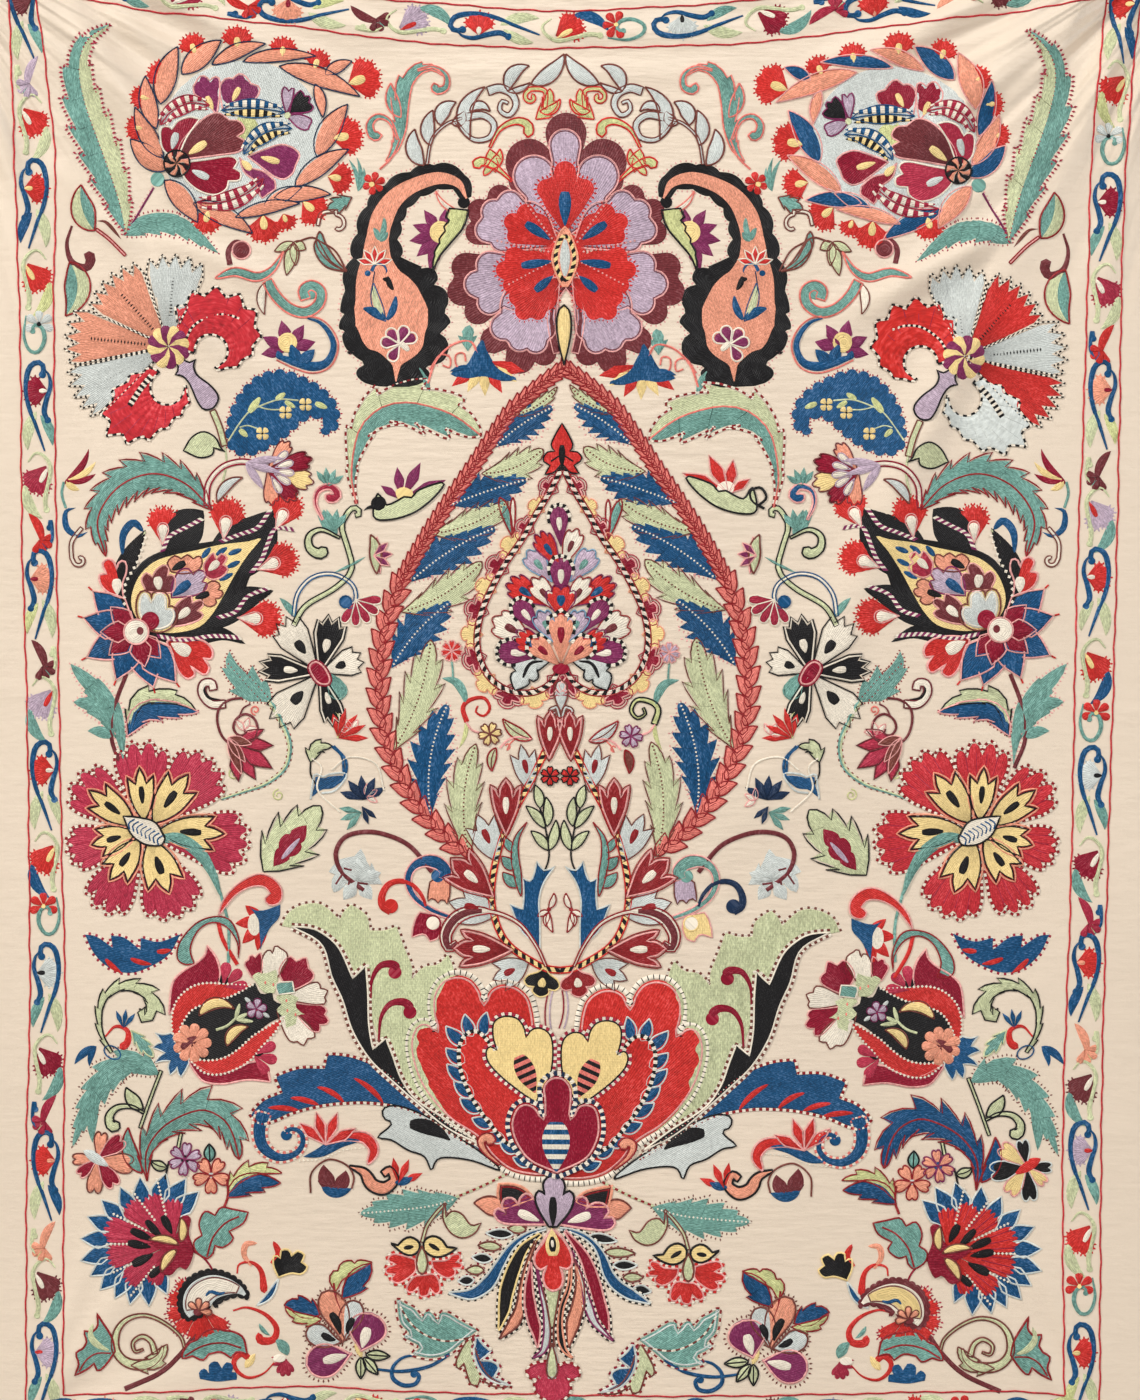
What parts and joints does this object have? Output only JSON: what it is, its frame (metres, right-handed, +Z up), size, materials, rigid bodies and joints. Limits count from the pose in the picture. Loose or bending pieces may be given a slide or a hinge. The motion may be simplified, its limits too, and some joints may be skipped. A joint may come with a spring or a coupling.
{
  "type": "suzani embroidered hanging",
  "caption": "Hung rectangular satin cloth with pull folds, embroidered in silk with flowers, leaves and botehs inside a vine border.",
  "frame": {"origin": "middle of the hanging's top edge", "axes": "+Z up along the drop, +X to the right across the width as the embroidered face is seen, -Y out of the embroidered face"},
  "size_m": [1.632, 0.0203, 2.088],
  "materials": {
    "cream_satin": "satin",
    "silk_thread": "silky"
  },
  "bodies": {
    "root": {"ground_cloth": "cream_satin"}
  },
  "joints": []
}
